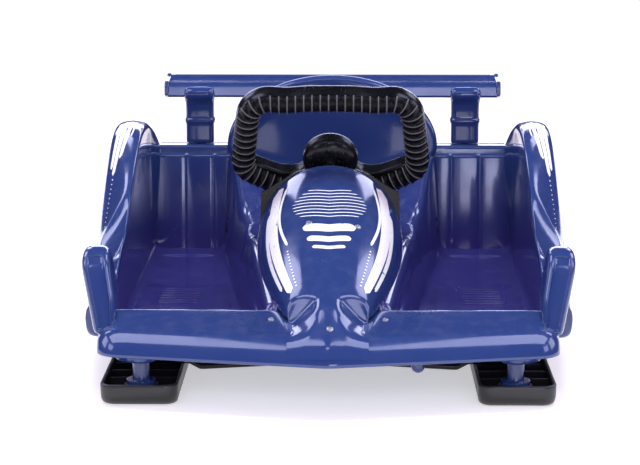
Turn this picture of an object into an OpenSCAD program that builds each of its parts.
// Child's steerable snow bob in the shape of a racing car.
// Millimetres, +Z up. The front faces -Y and +X is on the left hand of the seated driver.
// The origin is the middle of the bob's box, on the snow.
// "left" and "right" in the names are the viewer's, looking at the front from -Y.

/* [Hull] */
// Width of the hull between the outsides of its two side walls
hull_w = 520; // [480:10:560]
// Y of the inner face of the rear wall
rear_wall_y = 308; // [280:1:330]
// Depth of the hollow deck behind the rear wall
rear_deck_d = 34; // [26:1:44]
// Height of the underside of the floor above the snow
floor_z = 58; // [52:1:66]
// Wall thickness of the moulded hull
wall = 4; // [3:0.5:5]
// Height of the rear deck above the snow
deck_z = 210; // [198:1:215]
// Half the width of the tunnel at the rear wall, at the floor
tunnel_rear_hw = 157; // [140:1:165]
// Half the width of the tunnel under the nose, at the floor
tunnel_front_hw = 88; // [80:1:95]
// How far the tunnel's flanks lean in
tunnel_lean = 12; // [6:1:16]
// Height of the tunnel under the seat
tunnel_z = 135; // [125:1:140]

/* [Side pods] */
// Thickness of one side pod
pod_w = 40; // [32:1:50]
// Height of the pod's low front sill
sill_z = 100; // [90:1:108]
// Height of the fender's crest
crest_z = 252; // [240:1:262]
// Y of the fender's crest
crest_y = 220; // [200:5:235]
// How far the inner shoulder stands above the fender's outer edge, ahead of the crest
shoulder_h = 46; // [30:1:50]

/* [Front wing] */
// Y of the leading edge on the middle line
nose_y = -372; // [-378:1:-366]
// Sweep of the leading edge, in degrees
sweep = 11; // [8:0.5:13]
// Half the span of the wing
wing_half = 266; // [264:1:270]
// Y of the wing's straight rear edge
wing_rear_y = -250; // [-256:1:-246]
// Height of the rolled front edge above its lip
roll_h = 34; // [30:1:36]
// Height of the end plates above the floor
end_plate_h = 114; // [100:1:124]

/* [Seat] */
// Height of the backrest's arch above the rear deck
back_rise = 102; // [90:1:106]
// Half the width of the backrest's arch
back_hw = 150; // [120:1:155]

/* [Nose cowl] */
// Half the width of the cowl at its rear arch
cowl_hw = 92; // [86:1:96]
// Height of the rear arch above the tunnel
cowl_h = 100; // [92:1:106]
// Thickness of the cowl
cowl_t = 3.5; // [2.5:0.5:4.5]
// Y of the cowl's rear arch
cowl_rear_y = -32; // [-36:1:-30]
// Slope of the cowl's base, in degrees
cowl_slope = 7.4; // [7:0.1:7.8]

/* [Steering] */
// Height of the steering axis at the wheel
hub_z = 240; // [236:1:244]
// Tilt of the column from the level, in degrees
column_tilt = 31; // [30:0.5:32]
// Diameter of the column rod
column_d = 12; // [10:0.5:13]
// Length of the crank
crank_len = 36; // [32:1:38]
// Half the width of the rim's grip, across the wheel
rim_r = 14.7; // [13:0.1:16]
// Half the depth of the rim's grip, along the column
rim_deep = 18.5; // [14.7:0.1:20]
// Half the width of the wheel to the rim's centre line
rim_hw = 113; // [104:1:116]
// Height of the rim's top centre line above the hub
rim_top = 95; // [88:1:98]
// Depth of the rim's bottom centre line below the hub
rim_low = 44; // [38:1:46]
// Pitch of the grip rings round the rim
grip_pitch = 10; // [7:0.5:14]

/* [Skis] */
// Half the distance between the skis' centre lines
ski_x = 216; // [206:1:222]
// Width of a ski
ski_w = 90; // [80:1:96]
// Length of a ski
ski_len = 240; // [200:5:260]
// Height of a ski's rim
ski_h = 26; // [22:1:27]
// Y of the ski's nose
ski_nose_y = -322; // [-326:1:-318]
// Y of the kingpin axis
pin_y = -285; // [-288:1:-280]
// Diameter of the blue leg
leg_d = 20; // [18:0.5:22]
// Length of the steering arm behind the kingpin
arm_len = 50; // [44:1:54]
// Height of the tie rod's centre
rod_z = 33.5; // [32:0.5:35]
// Diameter of the tie rod
rod_d = 8; // [7:0.5:9]

/* [Rear wing] */
// Span of the rear wing
aero_span = 480; // [440:5:520]
// Height of the rear wing's underside above the deck
aero_rise = 66; // [60:1:80]
// Chord of the rear wing
aero_chord = 52; // [44:1:56]
// Distance of a post's centre from the middle
post_x = 190; // [170:1:205]
// Width of a post
post_w = 41; // [34:1:46]

/* [Fits] */
// Radial clearance of a turning shaft
fit = 0.1; // [0.05:0.01:0.15]
// Gap between moving faces
gap = 0.5; // [0.4:0.1:0.8]

/* [Hidden] */
$fn = 48;

blue = [0.20, 0.31, 0.62];
black = [0.09, 0.09, 0.09];
steel = [0.66, 0.67, 0.69];

floor_top = floor_z + wall;
hull_half = hull_w / 2;
inner_half = hull_half - wall;
deck_rear_y = rear_wall_y + wall + rear_deck_d;
pod_front_y = -236;
plate_front_y = pod_front_y - 63;
rod_y = pin_y + arm_len;
// The column ends where its crank's ball stands over the tie rod.
column_len = (crank_len * sin(column_tilt) - rod_y) / cos(column_tilt);
tunnel_front_y = wing_rear_y;
beam_front_y = wing_rear_y - 62;
slope = tan(cowl_slope);
eps = 0.01;

// Height of the tunnel's top skin at y: level under the seat, then falling with the cowl's base.
function tunnel_top(y) = y > cowl_rear_y ? tunnel_z : tunnel_z - (cowl_rear_y - y) * slope;
// Half the width of the tunnel at the floor.
function tunnel_hw(y) = tunnel_front_hw
    + (tunnel_rear_hw - tunnel_front_hw) * (y - tunnel_front_y) / (rear_wall_y - tunnel_front_y);
function smooth(t) = t <= 0 ? 0 : t >= 1 ? 1 : t * t * (3 - 2 * t);
// Height of the pod's top edge at y.
function pod_top(y) = sill_z + (crest_z - sill_z) * smooth((y + 120) / (crest_y + 120));

// ---------------------------------------------------------------- frames and small helpers

// The column's own frame: +z points at the driver, +y up the wheel, origin on the hub.
module at_column() {
    translate([0, 0, hub_z])
        rotate([column_tilt - 90, 0, 0])
            rotate([0, 0, 180])
                children();
}

module both_sides() {
    children();
    mirror([1, 0, 0])
        children();
}

// An outline drawn as (y, z), thick along X from x0.
module side_slab(x0, thick) {
    translate([x0, 0, 0])
        rotate([90, 0, 90])
            linear_extrude(thick)
                children();
}

// An outline drawn as (x, z), thick along Y from y0.
module front_slab(y0, thick) {
    translate([0, y0 + thick, 0])
        rotate([90, 0, 0])
            linear_extrude(thick)
                children();
}

// A rectangle with round corners, made of a cross and four circles.
module round_rect(w, d, r) {
    square([w - 2 * r, d], center = true);
    square([w, d - 2 * r], center = true);
    for (sx = [-1, 1], sy = [-1, 1])
        translate([sx * (w / 2 - r), sy * (d / 2 - r)])
            circle(r);
}

module pan_head(d, h) {
    intersection() {
        cylinder(d = d, h = h);
        translate([0, 0, h - d])
            sphere(d);
    }
}

// ---------------------------------------------------------------- hull

// One slice of the tunnel, for the two hulls that make its shell.
module tunnel_slice(y, inset, base) {
    hw = tunnel_hw(y) - inset;
    top = tunnel_top(y) - inset;
    front_slab(y - eps, 2 * eps)
        polygon([[-hw, base], [hw, base], [hw - tunnel_lean, top], [-hw + tunnel_lean, top]]);
}

module tunnel_run(y0, y1, inset, base) {
    hull() {
        tunnel_slice(y0, inset, base);
        tunnel_slice(y1, inset, base);
    }
}

module tunnel_solid(inset, base) {
    tunnel_run(tunnel_front_y, cowl_rear_y, inset, base);
    tunnel_run(cowl_rear_y, rear_wall_y, inset, base);
}

// Height of the inner shoulder: it stands above the fender's edge ahead of the crest.
function shoulder_z(y) = pod_edge_z(y)
    + shoulder_h * smooth((y - pod_front_y - 26) / 110) * (1 - smooth((y + 20) / 260));
// Height of the pod's outer edge, with the round fall behind the crest.
pod_rear_fall = 92;
function pod_edge_z(y) = y < crest_y + 15 ? pod_top(y)
    : crest_z - pod_rear_fall + pod_rear_fall
        * sqrt(max(0, 1 - pow((y - crest_y - 15) / (deck_rear_y + 0.5 - crest_y - 15), 2)));
// Height of the pod's underside, rounded up at both ends.
function pod_base_z(y) = y < pod_front_y + 14
    ? floor_z + 14 - sqrt(196 - pow(pod_front_y + 14 - y, 2))
    : y > deck_rear_y - 34 ? floor_z + 34 - sqrt(max(0, 1156 - pow(y - deck_rear_y + 34, 2))) : floor_z;
// The pod draws in toward the front wing and round the rear corner.
function pod_outer_x(y) = hull_half + pod_w
    - 14 * (1 - min(1, (y - pod_front_y) / 170))
    - (y > deck_rear_y - 20 ? 20 - sqrt(max(0, 400 - pow(y - deck_rear_y + 20, 2))) : 0);
pod_rows = concat(
    [for (k = [0:4]) pod_front_y + [0, 4, 14, 26, 40][k]],
    [for (y = [pod_front_y + 56 : 20 : deck_rear_y - 42]) y],
    [for (k = [0:4]) deck_rear_y - [34, 22, 12, 4, 0][k]]
);

// Side view of the hull's side wall, a little below the shoulder.
module wall_outline(drop) {
    polygon(concat(
        [for (y = pod_rows) [y, shoulder_z(y) - drop]],
        [for (k = [len(pod_rows) - 1:-1:0]) [pod_rows[k], pod_base_z(pod_rows[k])]]
    ));
}

bush_neck = leg_d + 8;
// One side's leg bush: a neck through the hull's floor, a collar on top and four ribs.
module leg_bush_right() {
    color(black)
    translate([ski_x, pin_y, 0])
        difference() {
            union() {
                translate([0, 0, floor_z])
                    cylinder(d = bush_neck, h = wall + 1);
                translate([0, 0, floor_top])
                    cylinder(d = leg_d + 16, h = 18);
                for (a = [45:90:315])
                    rotate([0, 0, a])
                        translate([leg_d / 2 + 4, -1.5, floor_top])
                            cube([16, 3, 12]);
            }
            translate([0, 0, floor_z - 1])
                cylinder(d = leg_d + 2 * fit, h = 40);
        }
}

module leg_bush_left() {
    mirror([1, 0, 0])
        leg_bush_right();
}

module hull_tub() {
    color(blue)
    difference() {
        union() {
            // floor of both footwells, carried forward under the front wing
            translate([-hull_half, pod_front_y, floor_z])
                cube([hull_w, rear_wall_y - pod_front_y, wall]);
            translate([-250, beam_front_y, floor_z])
                cube([500, pod_front_y - beam_front_y, wall]);
            tunnel_solid(0, floor_z);
            both_sides() {
                side_slab(inner_half, wall)
                    wall_outline(1);
                // two long raised panels on the rear wall of the well
                for (x = [tunnel_rear_hw + 16, tunnel_rear_hw + 60])
                    front_slab(rear_wall_y - 2, 2)
                        polygon([[x, floor_top + 7], [x + 38, floor_top + 7],
                            [x + 37, deck_z - 12], [x + 1, deck_z - 12]]);
                // the toe step along the foot of the rear wall
                translate([tunnel_rear_hw - 1, rear_wall_y - 5, floor_top])
                    cube([inner_half - tunnel_rear_hw + 1, 5, 5]);
                // foot grips
                for (i = [0:6])
                    translate([150, -60 + 14 * i, floor_top])
                        cube([84, 3, 1.5]);
                // shallow raised border of the foot plate
                for (x = [148, 234])
                    translate([x, 20 + 14 * 3, floor_top])
                        cube([2, 180, 1]);
            }
            // rear wall and hollow deck
            translate([-hull_half, rear_wall_y, floor_z])
                cube([hull_w, wall, deck_z - floor_z]);
            translate([-hull_half, rear_wall_y, deck_z - wall])
                cube([hull_w, deck_rear_y - rear_wall_y, wall]);
            translate([-hull_half, deck_rear_y - wall, floor_z + 34])
                cube([hull_w, wall, deck_z - floor_z - 34]);
            // the round boss under the lip, on one side only
            translate([103, -300, floor_z - 14])
                cylinder(d = 16, h = 16);
            translate([103, -300, floor_z - 14])
                sphere(d = 16);
        }
        // the inside of the tunnel, open below
        difference() {
            tunnel_solid(wall, floor_z - 1);
            translate([-200, rear_wall_y - 0, 0])
                cube([400, 60, 300]);
        }
        // slot for the steering column
        translate([-10, -246, 80])
            cube([20, 58, 60]);
        both_sides() {
            translate([ski_x, pin_y, floor_z - 1])
                cylinder(d = bush_neck + 0.1, h = 40);
            // seat bolt recesses in the tunnel's flanks
            for (z = [108, 124])
                translate([tunnel_rear_hw - tunnel_lean - 18, 200, z])
                    rotate([0, 90, 0])
                        cylinder(d = 6, h = 30);
        }
    }
}

// ---------------------------------------------------------------- side pods

// One cross-section of the pod, from the inner foot round to the inner shoulder.
function pod_section(y) =
    let (x1 = pod_outer_x(y), z0 = pod_base_z(y), z1 = pod_edge_z(y), z2 = shoulder_z(y)) [
    [hull_half, y, z0], [x1 - 7, y, z0], [x1, y, z0 + 8], [x1, y, z1 - 9], [x1 - 2.5, y, z1 - 3],
    [x1 - 7, y, z1], [hull_half + 8, y, z2], [hull_half + 2, y, z2 - 0.5], [hull_half, y, z2 - 2]
];
pod_n = 9;

module pod_right() {
    rows = len(pod_rows);
    color(blue)
    polyhedron(
        points = [for (y = pod_rows, p = pod_section(y)) p],
        faces = concat(
            [[for (k = [0:pod_n - 1]) k]],
            [for (j = [0:rows - 2], k = [0:pod_n - 1])
                [j * pod_n + k, (j + 1) * pod_n + k, (j + 1) * pod_n + (k + 1) % pod_n]],
            [for (j = [0:rows - 2], k = [0:pod_n - 1])
                [j * pod_n + k, (j + 1) * pod_n + (k + 1) % pod_n, j * pod_n + (k + 1) % pod_n]],
            [[for (k = [pod_n - 1:-1:0]) (rows - 1) * pod_n + k]]
        )
    );
}

module pod_left() {
    mirror([1, 0, 0])
        pod_right();
}

// ---------------------------------------------------------------- front wing

// Section of the rolled wing: distance behind the leading edge, height. g moves it inward.
module wing_section(g) {
    ra = 30 - g;
    rz = roll_h - g;
    polygon(concat(
        [for (a = [0:7.5:90]) [30 - ra * cos(a), floor_z + rz * sin(a)]],
        [[170, floor_z + roll_h - g + 16]],
        [[170, floor_z]]
    ));
}

module wing_half_solid(g, end) {
    intersection() {
        translate([0, nose_y, 0])
            rotate([0, 0, sweep])
                side_slab(-20, 320)
                    wing_section(g);
        translate([0, nose_y - 1, floor_z - 1])
            linear_extrude(120)
                polygon(concat(
                    [[0, 0], [0, wing_rear_y - nose_y + 1 - g]],
                    [[end, wing_rear_y - nose_y + 1 - g]],
                    [for (a = [0:-15:-90]) [end - 24 + 24 * cos(a), 78 + 24 * sin(a)]],
                    [[end - 60, 0]]
                ));
    }
}

module wing_shell() {
    both_sides()
        wing_half_solid(0, wing_half);
}

module front_wing() {
    color(blue)
    difference() {
        wing_shell();
        // hollow below
        both_sides()
            translate([-1, 0, -1])
                wing_half_solid(wall, wing_half - wall);
        // open at the rear, where the hull's floor and the column's end enter
        translate([-260, wing_rear_y - 6, floor_z - 2])
            cube([520, 20, wall + 30]);
        translate([-60, wing_rear_y - 6, floor_z - 2])
            cube([120, 20, 42]);
        // seats of the end plates
        both_sides()
            translate([254, plate_front_y, floor_z - 1])
                cube([40, 80, 120]);
        // screw holes
        for (sx = [-1, 1])
            translate([sx * wing_screw_x, wing_screw_y, floor_z])
                cylinder(d = 4.4, h = 60);
    }
}

wing_screw_x = 62;
wing_screw_y = wing_rear_y - 24;
// Height of the wing's top skin at (x, y).
function wing_skin_z(x, y) = floor_z + roll_h
    + 16 * ((y - nose_y) * cos(sweep) - abs(x) * sin(sweep) - 30) / 140;

module end_plate_right() {
    x0 = 254.3;
    z0 = floor_z + 18;
    top = floor_z + end_plate_h;
    color(blue)
    difference() {
        intersection() {
            // front view: the plate widens and leans out toward its round top
            front_slab(plate_front_y, 70)
                polygon(concat(
                    [[x0, z0], [x0 + 13, z0]],
                    [for (a = [0:15:90]) [x0 + 31 - 11 + 11 * cos(a), top - 11 + 11 * sin(a)]],
                    [for (a = [90:15:180]) [x0 + 9 + 9 * cos(a), top - 9 + 9 * sin(a)]]
                ));
            // side view: leans back
            side_slab(x0 - 1, 40)
                polygon(concat(
                    [[plate_front_y + 0.5, z0]],
                    [for (a = [180:-15:90]) [plate_front_y + 37 + 10 * cos(a), top - 10 + 10 * sin(a)]],
                    [[pod_front_y - 0.3, top], [pod_front_y - 0.3, z0]]
                ));
        }
        // the dished front face
        translate([0, -4, 0])
            intersection() {
                front_slab(plate_front_y, 60)
                    polygon(concat(
                        [[x0 + 5, z0 + 16], [x0 + 12, z0 + 10]],
                        [for (a = [0:30:90]) [x0 + 26 - 7 + 7 * cos(a), top - 14 + 7 * sin(a)]],
                        [[x0 + 6, top - 7]]
                    ));
                side_slab(x0 - 1, 40)
                    polygon([[plate_front_y - 11, z0], [plate_front_y + 8.5, z0],
                        [plate_front_y + 35, top], [plate_front_y - 11, top]]);
            }
    }
}

module end_plate_left() {
    mirror([1, 0, 0])
        end_plate_right();
}

// ---------------------------------------------------------------- nose cowl

cowl_len = cowl_rear_y - nose_y - 20;
// Half width and height of the cowl at t, from 0 at the rear arch to 1 at the nose.
// The tip rounds off over the last stretch.
tip_from = 0.86;
function cowl_tip(t) = t < tip_from ? 1 : max(0.3, sqrt(max(0, 1 - pow((t - tip_from) / (1 - tip_from), 2))));
function cowl_w(t) = cowl_hw * (1 - 0.68 * pow(t, 1.9)) * (0.6 + 0.4 * cowl_tip(t));
function cowl_top(t) = cowl_h * (1 - 0.88 * pow(t, 1.25)) * cowl_tip(t);
function cowl_base(t) = tunnel_top(cowl_rear_y - cowl_len * t);
function cowl_t_at(y) = (cowl_rear_y - y) / cowl_len;
// Height of the cowl's skin at (x, y).
function cowl_skin_z(x, y) = cowl_base(cowl_t_at(y))
    + cowl_top(cowl_t_at(y)) * sqrt(1 - pow(x / cowl_w(cowl_t_at(y)), 2));

module cowl_arch(t, g) {
    w = cowl_w(t) - g;
    h = cowl_top(t) - g;
    front_slab(cowl_rear_y - cowl_len * t - 2 * eps, 2 * eps)
        translate([0, cowl_base(t)])
            polygon([for (a = [0:9:180]) [w * cos(a), h * sin(a)]]);
}

module cowl_dome(g, reach) {
    hull()
        for (t = concat([for (k = [0:7]) k / 8], [0.92, 0.96, 0.985, 1]))
            cowl_arch(min(t, 1 - g / cowl_len), g);
    // carries the hollow out through the rear arch
    if (reach > 0)
        front_slab(cowl_rear_y - eps, reach)
            translate([0, cowl_base(0)])
                polygon([for (a = [0:9:180]) [(cowl_w(0) - g) * cos(a), (cowl_top(0) - g) * sin(a)]]);
}

module nose_cowl() {
    color(blue)
    difference() {
        cowl_dome(0, 0);
        translate([0, 0, -eps])
            cowl_dome(cowl_t, 1);
        for (p = cowl_screw_places)
            translate([p[0], p[1], tunnel_z - 60])
                cylinder(d = 4.4, h = 140);
    }
}

// ---------------------------------------------------------------- dashboard and column block

dash_y = cowl_rear_y + 0.3;
module dashboard() {
    color(black)
    difference() {
        union() {
            front_slab(dash_y, 6)
                polygon(concat(
                    [[-60, tunnel_z + 0.3], [60, tunnel_z + 0.3], [80, 148], [88, 165]],
                    [for (a = [0:15:90]) [84 + 3.5 * cos(a), 197 + 3.5 * sin(a)]],
                    [for (a = [30:10:150]) [64 * cos(a), 203 + (cowl_h - 70) * sin(a)]],
                    [for (a = [90:15:180]) [-84 + 3.5 * cos(a), 197 + 3.5 * sin(a)]],
                    [[-88, 165], [-80, 148]]
                ));
            // side gussets that stand on the tunnel
            both_sides()
                side_slab(70, 5)
                    polygon([[dash_y + 6, 160], [dash_y + 6, tunnel_z + 0.3], [dash_y + 34, tunnel_z + 0.3]]);
            // the moulded bearing boss of the column
            intersection() {
                at_column()
                    translate([0, 0, -60])
                        cylinder(d = column_d + 7, h = 54);
                translate([-40, dash_y - 3.3, 150])
                    cube([80, 10, 100]);
            }
        }
        at_column()
            translate([0, 0, -120])
                cylinder(d = column_d + 2 * fit, h = 140);
    }
}

block_y = -170;
module column_block() {
    top = hub_z + block_y * tan(column_tilt) + 14;
    base = tunnel_top(block_y);
    color(black)
    difference() {
        intersection() {
            front_slab(block_y - 11, 22)
                polygon(concat(
                    [[-26, base - 10], [26, base - 10], [26, base + 7], [14, base + 7]],
                    [for (a = [0:15:180]) [14 * cos(a), top - 14 + 14 * sin(a)]],
                    [[-14, base + 7], [-26, base + 7]]
                ));
            translate([-100, cowl_rear_y, tunnel_z])
                rotate([cowl_slope, 0, 0])
                    translate([0, -300, 0])
                        cube([200, 300, 100]);
        }
        at_column()
            translate([0, 0, -260])
                cylinder(d = column_d + 2 * fit, h = 120);
    }
}

// ---------------------------------------------------------------- seat and backrest

seat_front_y = 30;
seat_rear_y = rear_wall_y - 0.3;
bolster_y = 110;
function seat_hw(y) = tunnel_hw(y) - tunnel_lean;

module seat_pan() {
    color(blue)
    intersection() {
        // side view: a low cushion, and bolsters that climb to the rear deck
        union() {
            side_slab(-150, 300)
                polygon([[seat_front_y, tunnel_z], [seat_front_y + 6, tunnel_z + 12],
                    [seat_rear_y, tunnel_z + 16], [seat_rear_y, tunnel_z]]);
            both_sides()
                side_slab(96, 60)
                    polygon(concat(
                        [[bolster_y - 40, tunnel_z]],
                        [for (t = [0:0.1:1]) [bolster_y + t * (seat_rear_y - bolster_y),
                            tunnel_z + 14 + (deck_z - tunnel_z - 14.5) * smooth(t)]],
                        [[seat_rear_y, tunnel_z]]
                    ));
        }
        // plan: as wide as the tunnel's top
        translate([0, 0, tunnel_z])
            linear_extrude(120)
                polygon([
                    [-seat_hw(seat_front_y), seat_front_y], [seat_hw(seat_front_y), seat_front_y],
                    [seat_hw(seat_rear_y), seat_rear_y], [-seat_hw(seat_rear_y), seat_rear_y]
                ]);
    }
}

back_t = 14;
module backrest() {
    base = tunnel_z + 16.5;
    y0 = seat_rear_y - back_t;
    arch = back_rise;
    color(blue)
    difference() {
        union() {
            // panel between the bolsters
            front_slab(y0, back_t)
                polygon([[-95, base], [95, base], [95, deck_z + 1], [-95, deck_z + 1]]);
            // arch above the deck
            front_slab(y0, back_t)
                polygon([for (a = [0:6:180]) [back_hw * cos(a), deck_z + 0.5 + arch * sin(a)]]);
            // rear flange that sits on the deck
            front_slab(seat_rear_y, 20)
                polygon([for (a = [0:6:180]) [(back_hw - 24) * cos(a), deck_z + 0.3 + (arch - 40) * sin(a)]]);
        }
        // the dished pad area
        front_slab(y0 - 1, 5)
            polygon([for (a = [0:6:180]) [(back_hw - 22) * cos(a), deck_z + 8 + (arch - 26) * sin(a)]]);
        // hollow back
        front_slab(seat_rear_y + 4, 20)
            polygon([for (a = [0:6:180]) [(back_hw - 28) * cos(a), deck_z + (arch - 44) * sin(a)]]);
    }
}

// ---------------------------------------------------------------- rear wing

aero_z = deck_z + aero_rise;
aero_y = deck_rear_y + 26;
module rear_wing() {
    color(blue)
    difference() {
        union() {
            // channelled wing plate
            side_slab(-aero_span / 2, aero_span)
                polygon(concat(
                    [for (a = [90:15:270]) [aero_y - aero_chord + 6 + 6 * cos(a), aero_z + 10 + 10 * sin(a)]],
                    [[aero_y - 20, aero_z], [aero_y, aero_z + 8], [aero_y, aero_z + 27]],
                    [[aero_y - 6, aero_z + 28], [aero_y - 22, aero_z + 20]]
                ));
            // upturned end tips
            both_sides()
                side_slab(aero_span / 2 - 6, 6)
                    polygon(concat(
                        [[aero_y - aero_chord, aero_z + 4], [aero_y - 4, aero_z + 4]],
                        [[aero_y, aero_z + 8], [aero_y, aero_z + 30]],
                        [for (a = [90:15:180]) [aero_y - aero_chord + 10 + 10 * cos(a), aero_z + 20 + 10 * sin(a)]]
                    ));
        }
        // long groove along the front edge
        side_slab(-aero_span / 2 + 12, aero_span - 24)
            polygon([[aero_y - aero_chord - 1, aero_z + 8], [aero_y - aero_chord + 3, aero_z + 9],
                [aero_y - aero_chord + 3, aero_z + 12], [aero_y - aero_chord - 1, aero_z + 13]]);
        // underside channel
        side_slab(-aero_span / 2 + 12, aero_span - 24)
            polygon([[aero_y - 14, aero_z + 5], [aero_y - 4, aero_z + 10], [aero_y - 4, aero_z + 22],
                [aero_y - 14, aero_z + 16]]);
    }
}

module wing_post_right() {
    y0 = deck_rear_y - 24;
    color(blue)
    difference() {
        union() {
            translate([post_x, y0 + 11, deck_z])
                linear_extrude(aero_rise)
                    round_rect(post_w, 20, 5);
            // the bead partway up
            translate([post_x, y0 + 11, deck_z + aero_rise * 0.62])
                linear_extrude(8)
                    round_rect(post_w + 3, 23, 6);
        }
        translate([post_x, y0 + 11, deck_z - 1])
            linear_extrude(aero_rise - 5)
                round_rect(post_w - 8, 12, 3);
    }
}

module wing_post_left() {
    mirror([1, 0, 0])
        wing_post_right();
}

// ---------------------------------------------------------------- rear runners

runner_front_y = 60;
runner_rear_y = 330;
module rear_runner_right() {
    color(black)
    difference() {
        union() {
            // sole with an upturned nose, and the web above it
            side_slab(ski_x - 32, 64)
                polygon(concat(
                    [for (a = [180:15:270]) [runner_front_y + 40 + 40 * cos(a), 40 + 40 * sin(a)]],
                    [for (a = [-90:15:0]) [runner_rear_y - 14 + 14 * cos(a), 14 + 14 * sin(a)]],
                    [[runner_rear_y, 24], [runner_rear_y - 6, 24], [runner_rear_y - 6, 14]],
                    [for (a = [-90:-15:-180]) [runner_front_y + 40 + 32 * cos(a), 40 + 32 * sin(a)]]
                ));
            side_slab(ski_x - 9, 18)
                polygon([[runner_front_y + 30, 5], [runner_rear_y - 20, 5], [runner_rear_y - 26, floor_z],
                    [runner_front_y + 46, floor_z]]);
            translate([ski_x - 24, runner_front_y + 40, floor_z - 6])
                cube([48, runner_rear_y - runner_front_y - 70, 6]);
        }
        // keel grooves in the sole
        for (x = [-16, 16])
            side_slab(ski_x + x - 3, 6)
                polygon([[runner_front_y + 30, -1], [runner_rear_y + 1, -1], [runner_rear_y + 1, 2],
                    [runner_front_y + 30, 2]]);
    }
}

module rear_runner_left() {
    mirror([1, 0, 0])
        rear_runner_right();
}

// ---------------------------------------------------------------- steering wheel

rim_path = [
    [rim_hw - 12, rim_top], [rim_hw, -rim_low * 0.32], [rim_hw * 0.55, -rim_low],
    [-rim_hw * 0.55, -rim_low], [-rim_hw, -rim_low * 0.32], [-rim_hw + 12, rim_top]
];
rim_bend = [26, 18, 45, 45, 18, 26];

// The web leaves two gaps beside the hub, as the real wheel's does.
web_outline = [
    [-rim_hw + 14, -2], [-64, -18], [-45, -19], [-31, -8], [31, -8], [45, -19], [64, -18], [rim_hw - 14, -2],
    [rim_hw - 10, -rim_low * 0.4], [rim_hw * 0.55, -rim_low], [-rim_hw * 0.55, -rim_low],
    [-rim_hw + 10, -rim_low * 0.4]
];

function unit(v) = v / norm(v);
function around(i) = (i + len(rim_path)) % len(rim_path);
// Direction of the side that leaves corner i, and how far the corner turns.
function side_dir(i) = unit(rim_path[around(i + 1)] - rim_path[around(i)]);
function corner_turn(i) = acos(side_dir(i - 1) * side_dir(i));
function corner_cut(i) = rim_bend[around(i)] * tan(corner_turn(i) / 2);
function side_start(i) = rim_path[i] + side_dir(i) * corner_cut(i);
function side_len(i) = norm(rim_path[around(i + 1)] - rim_path[i]) - corner_cut(i) - corner_cut(i + 1);
function side_heading(i) = atan2(side_dir(i)[1], side_dir(i)[0]);
// The path runs clockwise, so each corner's centre lies on its right.
function corner_centre(i) = rim_path[i] - side_dir(i - 1) * corner_cut(i)
    + rim_bend[i] * [side_dir(i - 1)[1], -side_dir(i - 1)[0]];

// Stations round the rim: place and outward heading, closer together in the corners.
corner_steps = [7, 5, 4, 4, 5, 7];
rim_stations = [
    for (i = [0:len(rim_path) - 1], k = [0:corner_steps[i]])
        let (a = side_heading(i) + 90 + corner_turn(i) * (1 - k / corner_steps[i]))
            [corner_centre(i) + rim_bend[i] * [cos(a), sin(a)], a]
];
rim_sides = 16;

// The rim: one closed skin of oval rings round the path.
module rim_tube() {
    n = len(rim_stations);
    polyhedron(
        points = [
            for (s = rim_stations, k = [0:rim_sides - 1])
                let (b = 360 * k / rim_sides, q = rim_r * cos(b))
                    [s[0][0] + q * cos(s[1]), s[0][1] + q * sin(s[1]), rim_deep * sin(b)]
        ],
        faces = [
            for (j = [0:n - 1], k = [0:rim_sides - 1])
                let (j2 = (j + 1) % n, k2 = (k + 1) % rim_sides)
                    [j * rim_sides + k, j2 * rim_sides + k, j2 * rim_sides + k2, j * rim_sides + k2]
        ]
    );
}

// The rim's own oval, larger by g.
ring_fit = 0.1;
module rim_oval(g) {
    polygon([for (k = [0:rim_sides - 1])
        [(rim_r + g) * cos(360 * k / rim_sides), (rim_deep + g) * sin(360 * k / rim_sides)]]);
}

module grip_ring() {
    rotate([90, 0, 90])
        linear_extrude(1.6, center = true)
            difference() {
                rim_oval(0.8);
                rim_oval(ring_fit);
            }
}

// Rings at an even pitch round the same path, above the web: sides 4, 5, 0 and the top corners.
module rings_round_rim() {
    for (i = [0, 4, 5]) {
        side_n = max(1, floor(side_len(i) / grip_pitch));
        for (k = [0:side_n - 1]) {
            p = side_start(i) + side_dir(i) * side_len(i) * (k + 0.5) / side_n;
            translate([p[0], p[1], 0])
                rotate([0, 0, side_heading(i)])
                    grip_ring();
        }
    }
    // in the top corners, on every second station, where the rim's oval is exact
    for (i = [0, 5], k = [1:2:corner_steps[i] - 1])
        translate([corner_centre(i)[0], corner_centre(i)[1], 0])
            rotate([0, 0, side_heading(i) + 90 + corner_turn(i) * (1 - k / corner_steps[i])])
                translate([rim_bend[i], 0, 0])
                    rotate([0, 0, 90])
                        grip_ring();
}

module steering_wheel() {
    color(black)
    at_column()
        difference() {
            union() {
                rim_tube();
                // web between the hub and the lower rim
                translate([0, 0, -5])
                    linear_extrude(10)
                        polygon(web_outline);
                // domed boss on the nose side, plain hub on the driver's side
                rotate_extrude()
                    polygon(concat(
                        [[0, 10], [26, 10], [32, 6], [33.5, 3]],
                        [for (a = [0:15:90]) [16.5 + 17 * cos(a), -3 - 15 * sin(a)]],
                        [[0, -18]]
                    ));
            }
            translate([0, 0, -30])
                cylinder(d = column_d, h = 60);
        }
}

module grip_rings() {
    color(black)
    at_column()
        rings_round_rim();
}

module hub_cap() {
    color(black)
    at_column()
        translate([0, 0, 10])
            rotate_extrude()
                polygon(concat(
                    [[14, 0], [25, 0]],
                    [for (a = [0:15:90]) [13 + 12 * cos(a), 2 + 10 * sin(a)]],
                    [[0, 12], [0, 10], [14, 10]]
                ));
}

crank_ball = 6;
module steering_column() {
    color(steel)
    at_column() {
        translate([0, 0, -column_len])
            cylinder(d = column_d, h = column_len + 14);
        translate([0, 0, -column_len])
            sphere(d = column_d);
        translate([0, 0, -column_len])
            rotate([90, 0, 0])
                cylinder(d = column_d - 3, h = crank_len);
        translate([0, -crank_len, -column_len])
            sphere(crank_ball);
    }
}

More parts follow.
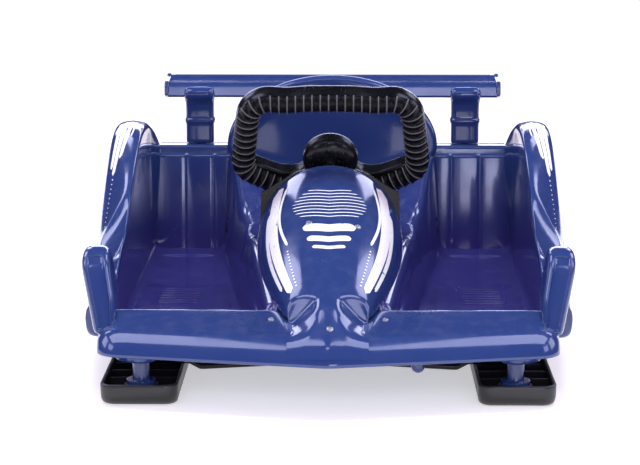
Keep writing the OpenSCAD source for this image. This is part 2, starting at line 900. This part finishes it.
module column_nut() {
    color(steel)
    at_column()
        translate([0, 0, 10])
            difference() {
                cylinder(r = 10.5, h = 6, $fn = 6);
                translate([0, 0, -1])
                    cylinder(d = column_d, h = 8);
            }
}

// Collar that rests on the block, so that the column can't slide down.
collar_d = column_d + 9;
collar_s = (-block_y - 11 - gap - collar_d / 2 * sin(column_tilt)) / cos(column_tilt);
module column_collar() {
    color(steel)
    at_column()
        translate([0, 0, -collar_s])
            difference() {
                cylinder(d = collar_d, h = 8);
                translate([0, 0, -1])
                    cylinder(d = column_d, h = 10);
            }
}

// ---------------------------------------------------------------- skis and legs

tray_t = 3.5;
sole_t = 7;
seat_z = 19;

module ski_outline(inset) {
    translate([0, ski_nose_y + ski_len / 2])
        round_rect(ski_w - 2 * inset, ski_len - 2 * inset, 16 - inset * 0.8);
}

module ski_tray() {
    difference() {
        intersection() {
            linear_extrude(ski_h)
                ski_outline(0);
            // raked nose and tail
            side_slab(-ski_w, 2 * ski_w)
                polygon([[ski_nose_y + 8, 0], [ski_nose_y, 12], [ski_nose_y, ski_h],
                    [ski_nose_y + ski_len, ski_h], [ski_nose_y + ski_len, 12], [ski_nose_y + ski_len - 12, 0]]);
        }
        translate([0, 0, sole_t])
            linear_extrude(ski_h)
                ski_outline(tray_t);
        for (x = [-20, 20])
            translate([x - 4, ski_nose_y - 1, -1])
                cube([8, ski_len + 2, 3]);
    }
    // cross ribs of the tray
    for (y = [pin_y + 26:34:ski_nose_y + ski_len - 12])
        translate([-ski_w / 2 + tray_t - 0.5, y - 1.5, sole_t - 0.5])
            cube([ski_w - 2 * tray_t + 1, 3, 12]);
}

module ski_right() {
    color(black)
    translate([ski_x, 0, 0])
        difference() {
            union() {
                ski_tray();
                translate([0, pin_y, 1])
                    cylinder(d = 40, h = seat_z - 1);
            }
            translate([0, pin_y, 5])
                cylinder(d = 8, h = 30);
        }
}

module ski_left() {
    mirror([1, 0, 0])
        ski_right();
}

peg_d = 8;
slot_run = 5;
eye_t = rod_d + 1;
arm_z = rod_z + eye_t / 2 + gap;
arm_t = 6.5;
// The blue leg: kingpin, seat flange, steering arm and the peg that enters the ski.
module ski_leg_right() {
    top = floor_z + 29;
    color(blue)
    translate([ski_x, pin_y, 0])
        difference() {
            union() {
                translate([0, 0, 5])
                    cylinder(d = 8, h = 20);
                translate([0, 0, seat_z])
                    cylinder(d = 34, h = 5);
                translate([0, 0, seat_z])
                    cylinder(d = leg_d, h = top - seat_z);
                translate([0, 0, floor_z - gap - 4])
                    cylinder(d = leg_d + 12, h = 4);
                // steering arm
                translate([-7, 0, arm_z])
                    cube([14, arm_len, arm_t]);
                translate([0, arm_len + 2, arm_z])
                    cylinder(d = 24, h = arm_t);
            }
            // slot for the rod's peg: the arm swings, the rod slides straight
            translate([-peg_d / 2 - 0.4, arm_len - 0.5, rod_z])
                cube([peg_d + 0.8, slot_run, 20]);
            for (y = [arm_len - 0.5, arm_len - 0.5 + slot_run])
                translate([0, y, rod_z])
                    cylinder(d = peg_d + 0.8, h = 20);
            // groove for the clip
            translate([0, 0, floor_z + 22.5])
                difference() {
                    cylinder(d = leg_d + 2, h = 2.5);
                    cylinder(d = leg_d - 4, h = 2.5);
                }
        }
}

module ski_leg_left() {
    mirror([1, 0, 0])
        ski_leg_right();
}

module leg_clip_right() {
    color(steel)
    translate([ski_x, pin_y, floor_z + 22.5])
        difference() {
            cylinder(d = leg_d + 8, h = 2.5);
            translate([0, 0, -1])
                cylinder(d = leg_d - 4, h = 5);
        }
}

module leg_clip_left() {
    mirror([1, 0, 0])
        leg_clip_right();
}

// ---------------------------------------------------------------- tie rod

ball_y = -column_len * cos(column_tilt) + crank_len * sin(column_tilt);
ball_z = hub_z - column_len * sin(column_tilt) - crank_len * cos(column_tilt);
module tie_rod() {
    color(black) {
        translate([-ski_x, rod_y, rod_z])
            rotate([0, 90, 0])
                cylinder(d = rod_d, h = 2 * ski_x);
        for (sx = [-1, 1]) {
            translate([sx * ski_x, rod_y, rod_z - eye_t / 2])
                cylinder(d = 18, h = eye_t);
            translate([sx * ski_x, rod_y, rod_z])
                cylinder(d = peg_d, h = arm_z + arm_t + gap + 3 - rod_z);
        }
        // fork that takes the crank's ball
        translate([-16, rod_y - 8, rod_z - 5])
            cube([32, 16, 15]);
        for (sx = [-1, 1])
            translate([sx * 11 - 4.4, rod_y - 8, rod_z])
                cube([8.8, 16, ball_z + 5 - rod_z]);
    }
}

module rod_washers() {
    color(steel)
    for (sx = [-1, 1])
        translate([sx * ski_x, rod_y, arm_z + arm_t + gap])
            difference() {
                cylinder(d = 20, h = 2);
                translate([0, 0, -1])
                    cylinder(d = peg_d, h = 4);
            }
}

// ---------------------------------------------------------------- fasteners

cowl_screw_places = [[-30, -166], [30, -166], [-3, -326]];
// How far the cowl's skin falls per millimetre along X and Y.
function cowl_fall(x, y) = [
    (cowl_skin_z(x - 1, y) - cowl_skin_z(x + 1, y)) / 2,
    (cowl_skin_z(x, y - 1) - cowl_skin_z(x, y + 1)) / 2
];
// Stands its child square on the cowl's skin.
module on_cowl(x, y) {
    f = cowl_fall(x, y);
    translate([x, y, cowl_skin_z(x, y)])
        rotate([0, 0, atan2(f[1], f[0])])
            rotate([0, atan(norm(f)), 0])
                children();
}
module cowl_screws() {
    color(steel)
    for (p = cowl_screw_places)
        on_cowl(p[0], p[1])
            translate([0, 0, 0.3])
                pan_head(8, 3);
}

module front_wing_screws() {
    color(steel)
    for (sx = [-1, 1])
        translate([sx * wing_screw_x, wing_screw_y, wing_skin_z(wing_screw_x, wing_screw_y) + 0.6])
            pan_head(8, 3);
}

module seat_bolts() {
    color(steel)
    for (sx = [-1, 1], y = [70, 250])
        translate([sx * 60, y, tunnel_z - wall - 6])
            cylinder(d = 10, h = 6);
}

module post_screws() {
    color(steel)
    for (sx = [-1, 1])
        translate([sx * post_x, deck_rear_y - 13, deck_z - wall - 5])
            cylinder(d = 10, h = 5);
}

module runner_screws() {
    color(steel)
    for (sx = [-1, 1], y = [runner_front_y + 70, runner_rear_y - 60], dx = [-17, 17])
        translate([sx * ski_x + dx, y, floor_z - 9])
            cylinder(d = 9, h = 3);
}

module block_screws() {
    color(steel)
    for (sx = [-1, 1])
        translate([sx * 20, block_y, tunnel_top(block_y) + 7])
            cylinder(d = 8, h = 3);
}

hull_tub();
leg_bush_left();
leg_bush_right();
pod_left();
pod_right();
front_wing();
end_plate_left();
end_plate_right();
nose_cowl();
dashboard();
column_block();
seat_pan();
backrest();
rear_wing();
wing_post_left();
wing_post_right();
rear_runner_left();
rear_runner_right();
steering_wheel();
grip_rings();
hub_cap();
steering_column();
column_nut();
column_collar();
ski_left();
ski_right();
ski_leg_left();
ski_leg_right();
leg_clip_left();
leg_clip_right();
tie_rod();
rod_washers();
cowl_screws();
front_wing_screws();
seat_bolts();
post_screws();
runner_screws();
block_screws();
